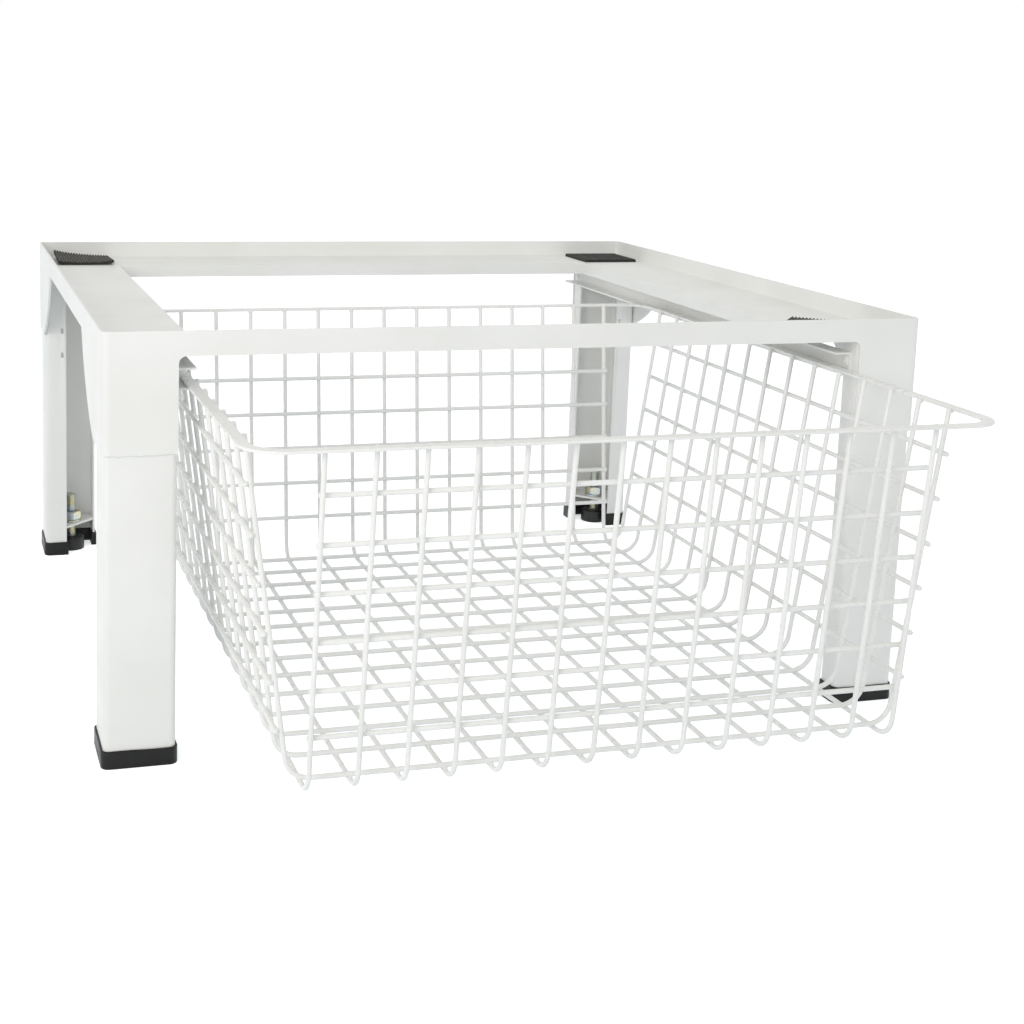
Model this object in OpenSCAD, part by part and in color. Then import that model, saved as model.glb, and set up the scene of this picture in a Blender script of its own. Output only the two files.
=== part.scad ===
// Laundry pedestal: a sheet-steel stand for a washing machine or dryer, with a
// wire basket that slides on two runners under the top frame.
// Millimetres. +X is to the right, +Y to the back and +Z up. The origin is on the
// floor, under the middle of the whole pedestal with its basket drawn out.

/* [Top frame] */
// Width of the stand
stand_w = 600; // [560:5:640]
// Depth of the stand
stand_d = 550; // [500:5:620]
// Height of the stand, from the floor to the top of its rim
stand_h = 295; // [280:1:340]
// Thickness of the steel sheet in the frame and legs
sheet = 1.8; // [1.2:0.1:2.5]
// Height of the rim above the deck
rim_h = 15; // [12:0.5:20]
// Width of the deck, from the outside of the rim to its inner flange
deck_w = 68; // [62:1:80]
// Depth of the inner flange, from the top of the deck
flange_h = 11; // [8:0.5:14]
// Outer bend radius at the corners
corner_r = 6; // [4:0.5:8]

/* [Corner posts and legs] */
// Width of a corner post's face
post_w = 50; // [46:1:56]
// Height of the post below the top of the rim, down to its weld seam
post_h = 81; // [70:1:95]
// Reach of the side gusset along the frame
gusset_w = 130; // [110:5:150]
// Radius of the gusset's curved edge
gusset_r = 150; // [140:10:220]
// Fillet between the post's face and the rail above it
post_fillet = 5; // [3:0.5:8]
// Width of the lip along each free edge of a leg
leg_lip = 19; // [16:0.5:22]
// Height of the two slots in the side lip, centre to centre
slot_pitch = 23; // [18:1:28]
// Width of each slot
slot_w = 2.4; // [1.5:0.1:4]
// Length of each slot
slot_l = 5; // [4:0.5:8]

/* [Feet] */
// Height of the rubber boot on a leg
boot_h = 12.5; // [10:0.5:18]
// Thickness of the boot's rubber wall
boot_wall = 1.6; // [1:0.1:1.7]
// Thickness of the rubber under the leg's edge
boot_floor = 3; // [2:0.5:5]
// Height of the plate that carries the levelling foot
plate_z = 25; // [20:1:30]
// Thickness of that plate
plate_t = 2; // [1.5:0.1:3]
// Thread diameter of the levelling stud
stud_d = 10; // [8:1:12]
// Running clearance between the stud and its holes, on the radius
stud_gap = 0.08; // [0.05:0.01:0.1]
// Height of the stud's top end
stud_top = 54; // [50:1:60]
// Width across the flats of the lock nut
nut_af = 17; // [16:0.5:18]
// Height of the lock nut
nut_h = 8; // [6:0.5:9]
// Diameter of the washer
washer_d = 20; // [18.5:0.5:21]
// Thickness of the washer
washer_t = 2; // [1.5:0.1:2.5]
// Diameter of the round foot
foot_d = 26; // [22:0.5:28]
// Height of the round foot
foot_h = 12; // [10:0.5:16]
// Depth to which the stud enters the round foot
foot_socket = 8; // [6:0.5:9]

/* [Deck pads] */
// Side of a square rubber pad
pad_w = 55; // [45:1:58]
// Thickness of a pad over its ribs
pad_t = 3; // [2:0.1:4]
// Depth of the ribs
rib_h = 0.8; // [0.5:0.1:1.2]
// Number of ribs on a pad
rib_count = 26; // [8:1:28]
// Distance from the rim to the pad
pad_inset = 7; // [5:0.5:10]
// Turn of the front right pad, which lies askew
askew_turn = 40; // [0:5:60]
// Distance from the side of the stand to the middle of the askew pad
askew_x = 50; // [46:1:60]
// Distance from the front of the stand to the middle of the askew pad
askew_y = 57; // [46:1:66]
// Height to which the rear left pad curls up at its outer edge
curl_h = 6; // [3:0.5:8]
// Length of the curled part
curl_l = 26; // [20:1:32]

/* [Runners] */
// Height of the channel, outside
runner_h = 15; // [14:0.5:18]
// Width of the channel's flanges, outside
runner_w = 13.5; // [12:0.5:14]
// Thickness of the channel's sheet
runner_t = 1.5; // [1:0.1:1.5]
// Gap between the top of the channel and the rail's inner flange
runner_drop = 0.4; // [0.2:0.1:2]
// Distance from each end of the channel to the outside of the stand
runner_end = 11; // [2:1:12]
// Head diameter of the screws that hold the channel
screw_head_d = 7; // [6:0.5:8]
// Head height of those screws
screw_head_h = 1; // [0.8:0.1:1.1]
// Shank diameter of those screws
screw_d = 4; // [3:0.5:5]
// Length of the shank behind the channel's web
screw_l = 9; // [7:0.5:12]

/* [Basket] */
// Distance that the basket is drawn out, past the front of the stand
reach = 187.3; // [150:0.1:240]
// Depth of the basket over its rim
basket_d = 540.6; // [480:0.2:542]
// Gap between the basket's rim and the web of each runner
side_gap = 5.5; // [2:0.1:6]
// Running gap between the rim and the runner's lower flange
slide_gap = 0.2; // [0.1:0.05:0.3]
// Width of the flat strip that makes the rim
strip_w = 8; // [7:0.5:10]
// Thickness of that strip
strip_t = 2; // [1.8:0.1:2.6]
// Outer corner radius of the rim
rim_r = 26; // [20:1:34]
// Diameter of the wires
wire_d = 3.4; // [3:0.1:4]
// Gap at the spot welds, where two wires meet
weld_gap = 0.05; // [0.02:0.01:0.1]
// Distance between wires across the basket
pitch_x = 30.1; // [26:0.1:32]
// Distance between wires along the basket
pitch_y = 33.6; // [30:0.1:35]
// Distance between the wires up the sides
pitch_z = 30.4; // [28:0.1:32]
// Number of wires across the basket
count_x = 14; // [10:1:14]
// Number of wires along the basket
count_y = 14; // [10:1:14]
// Number of level wires in each side
count_z = 6; // [4:1:6]
// Distance from the top of a wall down to its first level wire
top_drop = 30; // [26:1:36]
// Height of the underside of the basket
basket_z = 39; // [30:1:60]
// Lean of the front and back, from the bottom to the rim
lean_y = 25; // [15:1:35]
// Lean of the two sides, from the bottom to the rim
lean_x = 29; // [15:1:35]
// Bend radius at the foot of each side, on the wire's centre line
bend_r = 16; // [10:1:22]
// Length by which the side wires stand past the last upright
stub = 3.5; // [3:0.5:8]

/* [Hidden] */
$fn = 48;

// Signs of the corners: [-1, -1] is front left and [1, 1] is rear right.
front_left = [-1, -1];
front_right = [1, -1];
rear_left = [-1, 1];
rear_right = [1, 1];
corners = [front_left, front_right, rear_left, rear_right];

// The stand's front, back and middle along Y.
front_y = (reach - stand_d) / 2;
back_y = front_y + stand_d;
mid_y = (front_y + back_y) / 2;

// The deck and what hangs under it.
deck_top = stand_h - rim_h;
deck_under = deck_top - sheet;
seam_z = stand_h - post_h;
leg_w = post_w - sheet;
leg_r = corner_r - sheet;

// The gusset's edge is an arc from the foot of the post to the end of the gusset.
gusset_rise = deck_under - seam_z;
gusset_run = gusset_w - post_w;
gusset_chord = sqrt(gusset_rise * gusset_rise + gusset_run * gusset_run);
gusset_back = sqrt(gusset_r * gusset_r - gusset_chord * gusset_chord / 4);
gusset_cy = (post_w + gusset_w) / 2 - gusset_back * gusset_rise / gusset_chord;
gusset_cz = (seam_z + deck_under) / 2 + gusset_back * gusset_run / gusset_chord;

// The levelling foot's axis, measured inwards from the corner post's outer faces.
foot_at = sheet + leg_w / 2 + 0.5;
plate_top = plate_z + plate_t;
nut_z = plate_top + washer_t;

// The runner's channel, measured up from the floor and out from the middle.
runner_x = stand_w / 2 - post_w;
runner_top = deck_top - flange_h - runner_drop;
runner_z = runner_top - runner_h;
runner_mid = runner_z + runner_h / 2;
screw_y = sheet + leg_lip / 2 + 5;

// The rim of the basket runs on the lower flange.
rim_x = runner_x - runner_t - side_gap;
rim_z = runner_z + runner_t + slide_gap;
rim_top = rim_z + strip_t;
rim_front = front_y - reach;
rim_back = rim_front + basket_d;
basket_mid = (rim_front + rim_back) / 2;

// Two layers of wire: the outer one runs along the basket, the inner one across it.
wire_r = wire_d / 2;
layer = wire_d + weld_gap;
wire_top = rim_top - 0.4;
outer_z = basket_z + wire_r;
inner_z = outer_z + layer;
// The end walls carry the outer layer against the strip, the side walls the inner one.
end_top_y = basket_d / 2 - strip_w - wire_r - weld_gap;
end_foot_y = end_top_y - lean_y;
side_top_x = rim_x - strip_w - wire_r - weld_gap;
side_foot_x = side_top_x - lean_x;
end_tilt = atan2(lean_y, wire_top - outer_z);
side_tilt = atan2(lean_x, wire_top - inner_z);
end_len = (wire_top - outer_z) / cos(end_tilt);
side_len = (wire_top - inner_z) / cos(side_tilt);
// Length of wall that each bend takes up, on either side of the corner.
end_cut = bend_r * tan((90 - end_tilt) / 2);
side_cut = bend_r * tan((90 - side_tilt) / 2);
floor_long = 2 * (end_foot_y - end_cut);
floor_wide = 2 * (side_foot_x - side_cut);

// A rectangle with round corners, centred on the origin.
module round_rect(w, d, r) {
    square([w, d - 2 * r], center = true);
    square([w - 2 * r, d], center = true);
    for (x = [-1, 1], y = [-1, 1])
        translate([x * (w / 2 - r), y * (d / 2 - r)])
            circle(r);
}

// Puts a shape that is drawn from a corner's outer faces inwards at that corner.
module at_corner(c) {
    translate([0, mid_y, 0])
        mirror([c[0] > 0 ? 1 : 0, 0, 0])
            mirror([0, c[1] > 0 ? 1 : 0, 0])
                translate([-stand_w / 2, -stand_d / 2, 0])
                    children();
}

// The whole top ring: rim, deck and inner flange.
module top_ring() {
    hole_w = stand_w - 2 * deck_w;
    hole_d = stand_d - 2 * deck_w;
    translate([0, mid_y, 0]) {
        translate([0, 0, deck_under])
            linear_extrude(stand_h - deck_under)
                difference() {
                    round_rect(stand_w, stand_d, corner_r);
                    round_rect(stand_w - 2 * sheet, stand_d - 2 * sheet, leg_r);
                }
        translate([0, 0, deck_under])
            linear_extrude(sheet)
                difference() {
                    round_rect(stand_w, stand_d, corner_r);
                    square([hole_w, hole_d], center = true);
                }
        translate([0, 0, deck_top - flange_h])
            linear_extrude(flange_h)
                difference() {
                    square([hole_w + 2 * sheet, hole_d + 2 * sheet], center = true);
                    square([hole_w, hole_d], center = true);
                }
    }
}

// One side of the top ring, cut at its mitres. The side faces -Y before it is turned.
module mitred_rail(turn, along, across) {
    intersection() {
        top_ring();
        translate([0, mid_y, 0])
            rotate(turn)
                linear_extrude(2 * stand_h)
                    polygon([
                        [-along / 2 - 1, -across / 2 - 1],
                        [along / 2 + 1, -across / 2 - 1],
                        [along / 2 - deck_w - sheet, -across / 2 + deck_w + sheet],
                        [-along / 2 + deck_w + sheet, -across / 2 + deck_w + sheet]
                    ]);
    }
}

module front_rail() {
    color("white") mitred_rail(0, stand_w, stand_d);
}

module rear_rail() {
    color("white") mitred_rail(180, stand_w, stand_d);
}

module left_rail() {
    color("white") mitred_rail(-90, stand_d, stand_w);
}

module right_rail() {
    color("white") mitred_rail(90, stand_d, stand_w);
}

// Upper corner piece: a face under the end rail and a gusset under the side rail.
module post(c) {
    color("white")
        at_corner(c)
            intersection() {
                translate([0, 0, seam_z])
                    linear_extrude(gusset_rise)
                        difference() {
                            corner_quarter(gusset_w, corner_r);
                            translate([sheet, sheet])
                                corner_quarter(gusset_w, leg_r);
                        }
                rotate([90, 0, 0])
                    mirror([0, 0, 1])
                        linear_extrude(gusset_w)
                            post_face_outline();
                rotate([90, 0, 90])
                    linear_extrude(post_w + post_fillet)
                        gusset_outline();
            }
}

// The corner of a rectangle, round only at the origin.
module corner_quarter(w, r) {
    translate([r, r])
        circle(r);
    translate([r, 0])
        square([w - r, w]);
    translate([0, r])
        square([r, w - r]);
}

module post_face_outline() {
    translate([0, seam_z])
        square([post_w, gusset_rise]);
    difference() {
        translate([post_w, deck_under - post_fillet])
            square(post_fillet);
        translate([post_w + post_fillet, deck_under - post_fillet])
            circle(post_fillet);
    }
}

module gusset_outline() {
    intersection() {
        translate([0, seam_z])
            square([gusset_w, gusset_rise]);
        translate([gusset_cy, gusset_cz])
            circle(gusset_r, $fn = 180);
    }
}

// Section of a leg: two full walls, and a lip along each free edge.
module leg_section(grow) {
    difference() {
        translate([-grow, -grow])
            box_section(leg_w + 2 * grow, leg_r + grow);
        translate([sheet + grow, sheet + grow])
            box_section(leg_w - 2 * sheet - 2 * grow, max(leg_r - sheet - grow, 0.5));
        translate([leg_lip + grow, leg_lip + grow])
            square(leg_w);
    }
}

module box_section(w, r) {
    translate([w / 2, w / 2])
        round_rect(w, w, r);
}

module leg(c) {
    color("gainsboro")
        at_corner(c)
            translate([sheet, sheet, 0])
                difference() {
                    translate([0, 0, boot_floor])
                        linear_extrude(deck_under - boot_floor)
                            leg_section(0);
                    for (i = [0, 1])
                        translate([leg_lip - 2 * slot_w, leg_w - 2 * sheet, seam_z - i * slot_pitch])
                            cube([slot_w, 3 * sheet, slot_l]);
                    translate([leg_w - 2 * sheet, screw_y - sheet, runner_mid])
                        rotate([0, 90, 0])
                            cylinder(d = screw_d, h = 3 * sheet);
                }
}

// Rubber cap along the lower edge of a leg, with a groove for the sheet.
module boot(c) {
    color("black")
        at_corner(c)
            translate([sheet, sheet, 0])
                difference() {
                    linear_extrude(boot_h)
                        leg_section(boot_wall);
                    translate([0, 0, boot_floor])
                        linear_extrude(boot_h)
                            leg_section(0);
                }
}

// Plate across the inside of a leg, cut off between its two lips and clear of
// the leg's rounded inner corners.
module foot_plate(c) {
    wide = leg_w - sheet;
    near = sheet + leg_r;
    color("silver")
        at_corner(c)
            translate([sheet, sheet, plate_z])
                difference() {
                    linear_extrude(plate_t)
                        polygon([
                            [near, sheet],
                            [wide - leg_r, sheet],
                            [wide, near],
                            [wide, leg_lip],
                            [leg_lip, wide],
                            [near, wide],
                            [sheet, wide - leg_r],
                            [sheet, near]
                        ]);
                    translate([foot_at - sheet, foot_at - sheet, -1])
                        cylinder(d = stud_d + 2 * stud_gap, h = plate_t + 2);
                }
}

module washers() {
    color("goldenrod")
        for (c = corners)
            at_corner(c)
                translate([foot_at, foot_at, plate_top])
                    difference() {
                        cylinder(d = washer_d, h = washer_t);
                        translate([0, 0, -1])
                            cylinder(d = stud_d + 2 * stud_gap, h = washer_t + 2);
                    }
}

module lock_nuts() {
    color("goldenrod")
        for (c = corners)
            at_corner(c)
                translate([foot_at, foot_at, nut_z])
                    difference() {
                        cylinder(d = nut_af / cos(30), h = nut_h, $fn = 6);
                        translate([0, 0, -1])
                            cylinder(d = stud_d + 2 * stud_gap, h = nut_h + 2);
                    }
}

// Threaded stud of a levelling foot, with a chamfer on its top end.
module stud(c) {
    chamfer = 1;
    color("goldenrod")
        at_corner(c)
            translate([foot_at, foot_at, foot_h - foot_socket + stud_gap]) {
                cylinder(d = stud_d, h = stud_top - foot_h + foot_socket - chamfer);
                translate([0, 0, stud_top - foot_h + foot_socket - chamfer])
                    cylinder(d1 = stud_d, d2 = stud_d - 2 * chamfer, h = chamfer);
            }
}

// Round rubber foot that the stud turns in.
module foot(c) {
    edge = 1.5;
    color("black")
        at_corner(c)
            translate([foot_at, foot_at, 0])
                rotate_extrude()
                    polygon([
                        [0, 0],
                        [foot_d / 2 - edge, 0],
                        [foot_d / 2, edge],
                        [foot_d / 2, foot_h - edge],
                        [foot_d / 2 - edge, foot_h],
                        [stud_d / 2 + stud_gap, foot_h],
                        [stud_d / 2 + stud_gap, foot_h - foot_socket],
                        [0, foot_h - foot_socket]
                    ]);
}

// Ribbed rubber pad that lies flat on the deck, with its ribs from front to back.
module ribbed_pad() {
    rib = pad_w / rib_count;
    color("dimgray")
        difference() {
            cube([pad_w, pad_w, pad_t]);
            for (i = [0 : rib_count - 1])
                translate([(i + 0.75) * rib, -1, pad_t - rib_h])
                    cube([rib / 4, pad_w + 2, pad_t]);
        }
}

module flat_pad(c) {
    at_corner(c)
        translate([sheet + pad_inset, sheet + pad_inset, deck_top])
            ribbed_pad();
}

// The front right pad has been pushed askew, so that its corner shows behind the rim.
module askew_pad(c) {
    at_corner(c)
        translate([askew_x, askew_y, deck_top])
            rotate([0, 0, askew_turn])
                translate([-pad_w / 2, -pad_w / 2, 0])
                    ribbed_pad();
}

// Height of the curled pad's underside at a distance from its outer edge.
function curl(x) = x < curl_l ? curl_h * pow(1 - x / curl_l, 2) : 0;

// The rear left pad has come loose, and curls up at its outer edge.
module curled_pad(c) {
    steps = 8;
    low = [for (i = [0 : steps]) [curl_l * i / steps, curl(curl_l * i / steps)]];
    high = [for (i = [steps : -1 : 0]) [curl_l * i / steps, curl(curl_l * i / steps) + pad_t]];
    color("dimgray")
        at_corner(c)
            translate([sheet + pad_inset, sheet + pad_inset + pad_w, deck_top])
                rotate([90, 0, 0])
                    linear_extrude(pad_w)
                        polygon(concat(low, [[pad_w, 0], [pad_w, pad_t]], high));
}

// Channel that opens towards the basket. It lies against the legs' inner lips.
module runner(side) {
    long = stand_d - 2 * runner_end;
    color("whitesmoke")
        mirror([side > 0 ? 0 : 1, 0, 0])
            difference() {
                translate([runner_x - runner_w, front_y + runner_end, runner_z])
                    cube([runner_w, long, runner_h]);
                translate([runner_x - runner_w - 1, front_y, runner_z + runner_t])
                    cube([runner_w + 1 - runner_t, stand_d, runner_h - 2 * runner_t]);
                for (y = screw_places())
                    translate([runner_x - runner_w, y, runner_mid])
                        rotate([0, 90, 0])
                            cylinder(d = screw_d, h = 2 * runner_w);
            }
}

function screw_places() = [front_y + screw_y, back_y - screw_y];

// Screws through the runners' webs and the legs' lips.
module runner_screws() {
    color("silver")
        for (side = [-1, 1], y = screw_places())
            mirror([side > 0 ? 0 : 1, 0, 0])
                translate([runner_x - runner_t - screw_head_h, y, runner_mid])
                    rotate([0, 90, 0]) {
                        cylinder(d = screw_head_d, h = screw_head_h);
                        cylinder(d = screw_d, h = screw_head_h + runner_t + screw_l);
                    }
}

// Flat steel strip round the top of the basket.
module basket_rim() {
    color("white")
        translate([0, basket_mid, rim_z])
            linear_extrude(strip_t)
                difference() {
                    round_rect(2 * rim_x, basket_d, rim_r);
                    round_rect(2 * (rim_x - strip_w), basket_d - 2 * strip_w, rim_r - strip_w);
                }
}

// A straight wire along X, centred.
module wire_x(l) {
    rotate([0, 90, 0])
        translate([0, 0, -l / 2])
            cylinder(d = wire_d, h = l);
}

// A straight wire along Y, centred.
module wire_y(l) {
    rotate([90, 0, 0])
        translate([0, 0, -l / 2])
            cylinder(d = wire_d, h = l);
}

function spread(n, pitch) = [for (i = [0 : n - 1]) (i - (n - 1) / 2) * pitch];

// Heights of the level wires, measured up the wall from its foot.
function levels(length) = [for (i = [0 : count_z - 1]) length - top_drop - i * pitch_z];

// Mesh of the front or back: the uprights are in the outer layer.
module end_mesh(side) {
    color("white")
        translate([0, basket_mid, 0])
            mirror([0, side > 0 ? 0 : 1, 0])
                translate([0, end_foot_y, outer_z])
                    rotate([-end_tilt, 0, 0]) {
                        for (x = spread(count_x, pitch_x))
                            translate([x, 0, end_cut])
                                cylinder(d = wire_d, h = end_len - end_cut);
                        for (s = levels(end_len))
                            translate([0, -layer, s])
                                wire_x((count_x - 1) * pitch_x + wire_d);
                    }
}

module front_mesh() {
    end_mesh(-1);
}

module rear_mesh() {
    end_mesh(1);
}

// Mesh of one side: the uprights are in the inner layer.
module side_mesh(side) {
    color("white")
        translate([0, basket_mid, 0])
            mirror([side > 0 ? 0 : 1, 0, 0])
                translate([side_foot_x, 0, inner_z])
                    rotate([0, side_tilt, 0]) {
                        for (y = spread(count_y, pitch_y))
                            translate([0, y, side_cut])
                                cylinder(d = wire_d, h = side_len - side_cut);
                        for (s = levels(side_len))
                            translate([layer, 0, s])
                                wire_y((count_y - 1) * pitch_y + 2 * stub);
                    }
}

module left_mesh() {
    side_mesh(-1);
}

module right_mesh() {
    side_mesh(1);
}

// Bend of a wire from level to a wall that leans by a tilt. It starts at the origin.
module bend(tilt) {
    translate([0, 0, bend_r])
        rotate([90, 90, 0])
            rotate_extrude(angle = 90 - tilt)
                translate([bend_r, 0])
                    circle(d = wire_d);
}

// Straight wires of the basket's floor, in both layers.
module floor_mesh() {
    color("white")
        translate([0, basket_mid, 0]) {
            for (x = spread(count_x, pitch_x))
                translate([x, 0, outer_z])
                    wire_y(floor_long);
            for (y = spread(count_y, pitch_y))
                translate([0, y, inner_z])
                    wire_x(floor_wide);
        }
}

// Bends that lead the floor's wires up into the four walls.
module floor_bends() {
    color("white")
        translate([0, basket_mid, 0])
            for (turn = [0, 180])
                rotate(turn) {
                    for (x = spread(count_x, pitch_x))
                        translate([x, floor_long / 2, outer_z])
                            rotate(90)
                                bend(end_tilt);
                    for (y = spread(count_y, pitch_y))
                        translate([floor_wide / 2, y, inner_z])
                            bend(side_tilt);
                }
}

front_rail();
rear_rail();
left_rail();
right_rail();
post(front_left);  // front_left_post
post(front_right);  // front_right_post
post(rear_left);  // rear_left_post
post(rear_right);  // rear_right_post
leg(front_left);  // front_left_leg
leg(front_right);  // front_right_leg
leg(rear_left);  // rear_left_leg
leg(rear_right);  // rear_right_leg
foot_plate(front_left);  // front_left_plate
foot_plate(front_right);  // front_right_plate
foot_plate(rear_left);  // rear_left_plate
foot_plate(rear_right);  // rear_right_plate
boot(front_left);  // front_left_boot
boot(front_right);  // front_right_boot
boot(rear_left);  // rear_left_boot
boot(rear_right);  // rear_right_boot
flat_pad(front_left);  // front_left_pad
askew_pad(front_right);  // front_right_pad
curled_pad(rear_left);  // rear_left_pad
flat_pad(rear_right);  // rear_right_pad
runner(-1);  // left_runner
runner(1);  // right_runner
runner_screws();
washers();
lock_nuts();
stud(front_left);  // front_left_stud
stud(front_right);  // front_right_stud
stud(rear_left);  // rear_left_stud
stud(rear_right);  // rear_right_stud
foot(front_left);  // front_left_foot
foot(front_right);  // front_right_foot
foot(rear_left);  // rear_left_foot
foot(rear_right);  // rear_right_foot
basket_rim();
front_mesh();
rear_mesh();
left_mesh();
right_mesh();
floor_mesh();
floor_bends();
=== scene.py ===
from math import cos, hypot, pi, radians, sin
from random import Random

import bmesh
import bpy
from mathutils import Matrix, Vector, noise


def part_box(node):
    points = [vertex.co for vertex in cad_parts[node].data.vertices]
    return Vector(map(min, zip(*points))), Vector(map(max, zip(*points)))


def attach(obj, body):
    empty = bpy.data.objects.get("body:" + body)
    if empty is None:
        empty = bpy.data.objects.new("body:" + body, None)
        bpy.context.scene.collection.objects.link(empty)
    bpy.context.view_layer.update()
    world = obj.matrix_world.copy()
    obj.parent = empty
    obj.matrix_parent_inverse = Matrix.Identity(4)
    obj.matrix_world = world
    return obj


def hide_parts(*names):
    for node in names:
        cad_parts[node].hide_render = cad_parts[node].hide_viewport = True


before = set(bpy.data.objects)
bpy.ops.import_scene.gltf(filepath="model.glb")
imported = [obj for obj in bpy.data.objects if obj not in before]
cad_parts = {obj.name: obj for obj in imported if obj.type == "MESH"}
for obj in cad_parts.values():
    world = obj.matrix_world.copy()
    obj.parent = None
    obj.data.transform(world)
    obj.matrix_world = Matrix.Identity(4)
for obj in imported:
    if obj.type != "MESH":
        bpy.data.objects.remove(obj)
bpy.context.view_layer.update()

mm = 0.001
cornerNames = ["front_left", "front_right", "rear_left", "rear_right"]

# Outside of the stand in mm, which every corner is measured from
stand = {"halfWidth": 300, "front": -181.35, "back": 368.65, "deckTop": 280, "deckUnder": 278.2,
         "deckWidth": 68, "sheet": 1.8, "seam": 214, "rim": 295}
closeBy = 0.05  # mm, how far apart two heights or widths still count as the same
mergeWithin = 0.01  # mm, how near two points of a made mesh are to become one
cadMergeWithin = 0.005  # mm, the same for a copy of a CAD mesh
cutWithin = 0.0005  # mm, how near a point is to a cutting plane to lie on it
flatAngle = 0.5  # degrees between two faces, up to which they are one flat face
cornerAngle = 28  # degrees between two faces, from which the edge between them is a corner


# Small helpers for the meshes

def point(x, y, z):
    return Vector((x, y, z)) * mm


def fromCorner(corner, dx, dy, z):
    # dx and dy run inwards from the stand's two outer faces at that corner
    x = stand["halfWidth"] - dx
    y = stand["front"] + dy if "front" in corner else stand["back"] - dy
    return point(-x if "left" in corner else x, y, z)


def vertsIn(geometry):
    return [item for item in geometry if isinstance(item, bmesh.types.BMVert)]


def ringIn(geometry):
    verts = set(vertsIn(geometry))
    return list({edge for vert in verts for edge in vert.link_edges if edge.other_vert(vert) in verts})


def ringVerts(edges):
    return list({vert for edge in edges for vert in edge.verts})


def startCircle(bm, radius, segments, centre, facing):
    made = bmesh.ops.create_circle(bm, cap_ends=False, radius=radius, segments=segments)["verts"]
    turn = Vector((0, 0, 1)).rotation_difference(Vector(facing)).to_matrix().to_4x4()
    bmesh.ops.transform(bm, matrix=Matrix.Translation(centre) @ turn, verts=made)
    return ringIn(made)


def pushOn(bm, ring, step, shrink=1.0):
    made = bmesh.ops.extrude_edge_only(bm, edges=ring)["geom"]
    verts = vertsIn(made)
    middle = sum((vert.co for vert in verts), Vector()) / len(verts)
    for vert in verts:
        vert.co = middle + (vert.co - middle) * shrink + step
    return ringIn(made)


def turnOn(bm, ring, centre, axis, angle, steps):
    made = bmesh.ops.spin(bm, geom=ring, cent=centre, axis=axis, dvec=(0, 0, 0), angle=angle,
                          steps=steps, use_merge=False, use_normal_flip=False, use_duplicate=False)
    return ringIn(made["geom_last"])


def closeRing(bm, ring):
    bmesh.ops.edgeloop_fill(bm, edges=ring)


# Shares of the wire's radius, and how much narrower each step is than the one before
wireEnd = {"depth": 0.6, "steps": [(0.36, 0.86), (0.24, 0.5)]}


def domeEnd(bm, ring, facing, radius):
    # Rounds the cut end of a wire inwards from where it ends, as its coat does
    for vert in ringVerts(ring):
        vert.co -= facing * radius * wireEnd["depth"]
    for step, shrink in wireEnd["steps"]:
        ring = pushOn(bm, ring, facing * radius * step, shrink)
    closeRing(bm, ring)


def addPart(bm, part):
    # A small mesh is made by itself and then joined, which is much quicker
    mesh = bpy.data.meshes.new("part")
    part.to_mesh(mesh)
    part.free()
    bm.from_mesh(mesh)
    bpy.data.meshes.remove(mesh)


def lathe(bm, outline, centre, segments=40):
    # outline is pairs of radius and height in mm, turned once round a vertical axis
    verts = [bmesh.ops.create_vert(bm, co=point(radius, 0, height))["vert"][0] for radius, height in outline]
    edges = [bm.edges.new(pair) for pair in zip(verts, verts[1:])]
    before = set(bm.verts) - set(verts)
    bmesh.ops.spin(bm, geom=verts + edges, cent=(0, 0, 0), axis=(0, 0, 1), dvec=(0, 0, 0), angle=2 * pi,
                   steps=segments, use_merge=True, use_normal_flip=False, use_duplicate=False)
    bmesh.ops.remove_doubles(bm, verts=[vert for vert in bm.verts if vert not in before], dist=mergeWithin * mm)
    bmesh.ops.translate(bm, verts=[vert for vert in bm.verts if vert not in before], vec=centre)


def cleanCopy(node):
    # The CAD mesh is loose triangles, so a copy is merged and its flat faces joined
    bm = bmesh.new()
    bm.from_mesh(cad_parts[node].data)
    bmesh.ops.remove_doubles(bm, verts=bm.verts, dist=cadMergeWithin * mm)
    bmesh.ops.dissolve_limit(bm, angle_limit=radians(flatAngle), use_dissolve_boundaries=False,
                             verts=bm.verts, edges=bm.edges)
    return bm


def finishPiece(name, bm, material, body, nodes, sharp=40):
    bmesh.ops.recalc_face_normals(bm, faces=bm.faces)
    mesh = bpy.data.meshes.new(name)
    bm.to_mesh(mesh)
    bm.free()
    for polygon in mesh.polygons:
        polygon.use_smooth = True
    mesh.set_sharp_from_angle(angle=radians(sharp))
    piece = bpy.data.objects.new(name, mesh)
    bpy.context.scene.collection.objects.link(piece)
    mesh.materials.append(material)
    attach(piece, body)
    if nodes:
        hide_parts(*nodes)
    return piece


def isCorner(edge):
    return len(edge.link_faces) == 2 and edge.calc_face_angle(0) > radians(cornerAngle)


def weighEdges(bm, leaveOut, shareOf=None):
    # Only real corners of the sheet are rounded, not the mitres where two pieces are welded
    layer = bm.edges.layers.float.get("bevel_weight_edge") or bm.edges.layers.float.new("bevel_weight_edge")
    for edge in bm.edges:
        if isCorner(edge):
            ends = [vert.co / mm for vert in edge.verts]
            if not leaveOut(*ends):
                edge[layer] = shareOf(*ends) if shareOf else 1.0


def roundEdges(piece, width, segments=2):
    rounding = piece.modifiers.new("rounded_edges", "BEVEL")
    rounding.width = width * mm
    rounding.segments = segments
    rounding.limit_method = "WEIGHT"
    rounding.use_clamp_overlap = True
    rounding.harden_normals = True
    rounding.miter_outer = "MITER_ARC"


# Materials

def linear(hexColour):
    values = [int(hexColour[place:place + 2], 16) / 255 for place in (1, 3, 5)]
    return [value / 12.92 if value <= 0.04045 else ((value + 0.055) / 1.055) ** 2.4 for value in values] + [1.0]


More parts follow.
